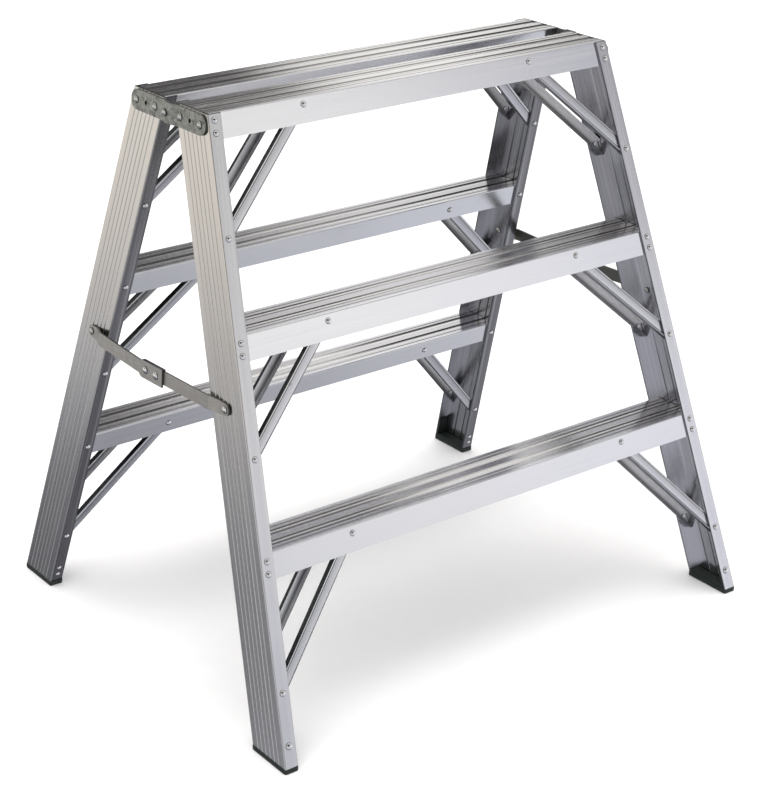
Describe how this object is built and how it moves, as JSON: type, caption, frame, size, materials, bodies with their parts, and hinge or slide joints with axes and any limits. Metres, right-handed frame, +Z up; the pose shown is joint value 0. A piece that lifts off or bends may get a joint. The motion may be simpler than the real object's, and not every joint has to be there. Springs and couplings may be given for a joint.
{
  "type": "step ladder",
  "caption": "Double-sided folding step ladder of ribbed aluminium channel, with corner braces under its steps, hinged tops, locking spreaders and rubber feet.",
  "frame": {"origin": "on the floor, under the middle of the hinge line", "axes": "+X along the steps, +Y from the front frame towards the rear frame, +Z up"},
  "size_m": [0.8978, 0.7632, 0.871],
  "materials": {
    "rail_aluminium": "extruded mill finish with fine lengthwise lines",
    "step_aluminium": "bright extruded mill finish",
    "brace_aluminium": "bright rolled finish",
    "hinge_steel": "dull zinc plate",
    "spreader_steel": "zinc plated pressed steel",
    "rivet_steel": "bright set rivet heads",
    "foot_rubber": "matt moulded rubber"
  },
  "bodies": {
    "front_frame": {"front_bottom_step": "step_aluminium", "front_left_bottom_inner_brace": "brace_aluminium", "front_left_bottom_outer_brace": "brace_aluminium", "front_left_foot": "foot_rubber", "front_left_middle_inner_brace": "brace_aluminium", "front_left_middle_outer_brace": "brace_aluminium", "front_left_rail": "rail_aluminium", "front_left_top_inner_brace": "brace_aluminium", "front_left_top_outer_brace": "brace_aluminium", "front_middle_step": "step_aluminium", "front_right_bottom_inner_brace": "brace_aluminium", "front_right_bottom_outer_brace": "brace_aluminium", "front_right_foot": "foot_rubber", "front_right_middle_inner_brace": "brace_aluminium", "front_right_middle_outer_brace": "brace_aluminium", "front_right_rail": "rail_aluminium", "front_right_top_inner_brace": "brace_aluminium", "front_right_top_outer_brace": "brace_aluminium", "front_top_step": "step_aluminium", "left_front_hinge_leaf": "hinge_steel", "right_front_hinge_leaf": "hinge_steel"},
    "rear_frame": {"hinge_pivots": "rivet_steel", "left_rear_hinge_leaf": "hinge_steel", "rear_bottom_step": "step_aluminium", "rear_left_bottom_inner_brace": "brace_aluminium", "rear_left_bottom_outer_brace": "brace_aluminium", "rear_left_foot": "foot_rubber", "rear_left_middle_inner_brace": "brace_aluminium", "rear_left_middle_outer_brace": "brace_aluminium", "rear_left_rail": "rail_aluminium", "rear_left_top_inner_brace": "brace_aluminium", "rear_left_top_outer_brace": "brace_aluminium", "rear_middle_step": "step_aluminium", "rear_right_bottom_inner_brace": "brace_aluminium", "rear_right_bottom_outer_brace": "brace_aluminium", "rear_right_foot": "foot_rubber", "rear_right_middle_inner_brace": "brace_aluminium", "rear_right_middle_outer_brace": "brace_aluminium", "rear_right_rail": "rail_aluminium", "rear_right_top_inner_brace": "brace_aluminium", "rear_right_top_outer_brace": "brace_aluminium", "rear_spreader_pivots": "rivet_steel", "rear_top_step": "step_aluminium", "right_rear_hinge_leaf": "hinge_steel"},
    "left_front_spreader": {"left_front_spreader_bar": "spreader_steel", "left_spreader_pivots": "rivet_steel"},
    "left_rear_spreader": {"left_rear_spreader_bar": "spreader_steel"},
    "right_front_spreader": {"right_front_spreader_bar": "spreader_steel", "right_spreader_pivots": "rivet_steel"},
    "right_rear_spreader": {"right_rear_spreader_bar": "spreader_steel"}
  },
  "joints": [
    {"name": "fold", "type": "hinge", "parent": "rear_frame", "child": "front_frame", "pos_m": [0, 0, 0.85481], "axis": [1, 0, 0], "range_deg": [0, 36.5]},
    {"name": "left_spreader_rail_pivot", "type": "hinge", "parent": "rear_frame", "child": "left_rear_spreader", "pos_m": [-0.40348, 0.18456, 0.4777], "axis": [-0.9956, 0, 0.0941], "range_deg": [0, 70.38]},
    {"name": "left_spreader_middle_pivot", "type": "hinge", "parent": "left_rear_spreader", "child": "left_front_spreader", "pos_m": [-0.40404, 0.0145, 0.47173], "axis": [-0.9956, 0, 0.0941], "range_deg": [-148.81, 0]},
    {"name": "right_spreader_rail_pivot", "type": "hinge", "parent": "rear_frame", "child": "right_rear_spreader", "pos_m": [0.40348, 0.18456, 0.4777], "axis": [-0.9956, 0, -0.0941], "range_deg": [0, 70.38]},
    {"name": "right_spreader_middle_pivot", "type": "hinge", "parent": "right_rear_spreader", "child": "right_front_spreader", "pos_m": [0.40404, 0.0145, 0.47173], "axis": [-0.9956, 0, -0.0941], "range_deg": [-148.81, 0]}
  ],
  "couplings": [
    {"joint": "left_spreader_rail_pivot", "follows": "fold", "ratio": 1.9278},
    {"joint": "left_spreader_middle_pivot", "follows": "fold", "ratio": -4.0765},
    {"joint": "right_spreader_rail_pivot", "follows": "fold", "ratio": 1.9278},
    {"joint": "right_spreader_middle_pivot", "follows": "fold", "ratio": -4.0765}
  ]
}
